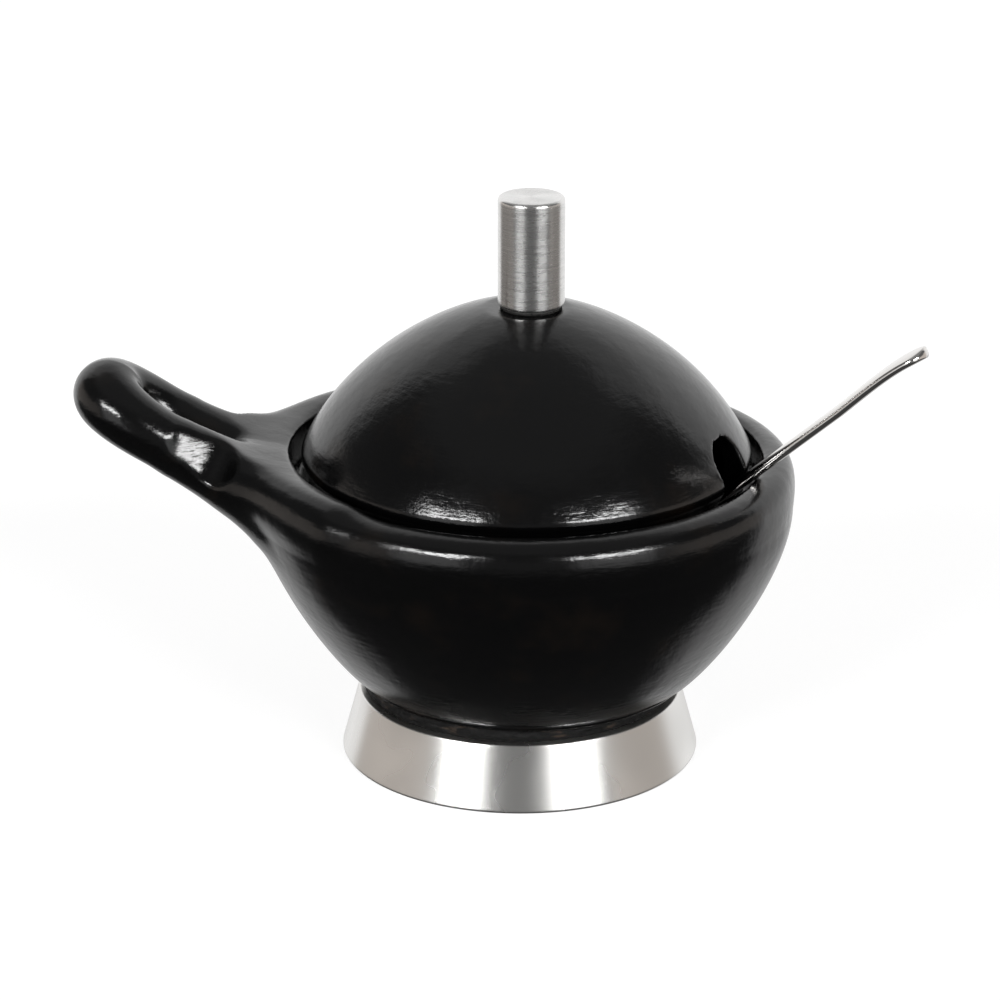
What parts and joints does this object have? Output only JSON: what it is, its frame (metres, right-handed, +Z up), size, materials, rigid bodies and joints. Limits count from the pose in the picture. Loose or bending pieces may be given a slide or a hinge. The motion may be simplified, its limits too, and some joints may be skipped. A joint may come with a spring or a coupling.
{
  "type": "sugar bowl",
  "caption": "round black clay sugar bowl on a flared metal foot, with a loop handle, a domed lid with a metal knob, and a spoon through a notch in the lid",
  "frame": {"origin": "centre of the foot ring's underside, on the table", "axes": "+Z up; the handle points along -X; the spoon leaves on the +X side, turned 19 degrees towards -Y"},
  "size_m": [0.1666, 0.1074, 0.1154],
  "materials": {
    "black_clay": "burnished low-fired black clay, glossy with small unevenness",
    "turned_metal": "fine-turned bar stock, polished, with faint turning lines",
    "satin_metal": "satin polished sheet metal",
    "spoon_steel": "polished stainless steel",
    "fixing_steel": "plain zinc-grey steel",
    "soft_washer": "matt dark washer",
    "setting_compound": "rough black setting compound"
  },
  "bodies": {
    "vessel": {"bowl": "black_clay", "foot_ring": "satin_metal", "foot_bond": "setting_compound"},
    "lid_assembly": {"lid": "black_clay", "knob": "turned_metal", "knob_cushion": "soft_washer", "knob_washer": "fixing_steel", "knob_screw": "fixing_steel"},
    "loose_spoon": {"spoon": "spoon_steel"}
  },
  "joints": [
    {"name": "lid_lift", "type": "slide", "parent": "vessel", "child": "lid_assembly", "axis": [0, 0, 1], "range_m": [0, 0.08]},
    {"name": "spoon_draw", "type": "slide", "parent": "vessel", "child": "loose_spoon", "axis": [0.7082, -0.2438, 0.6626], "range_m": [0, 0.025]}
  ]
}
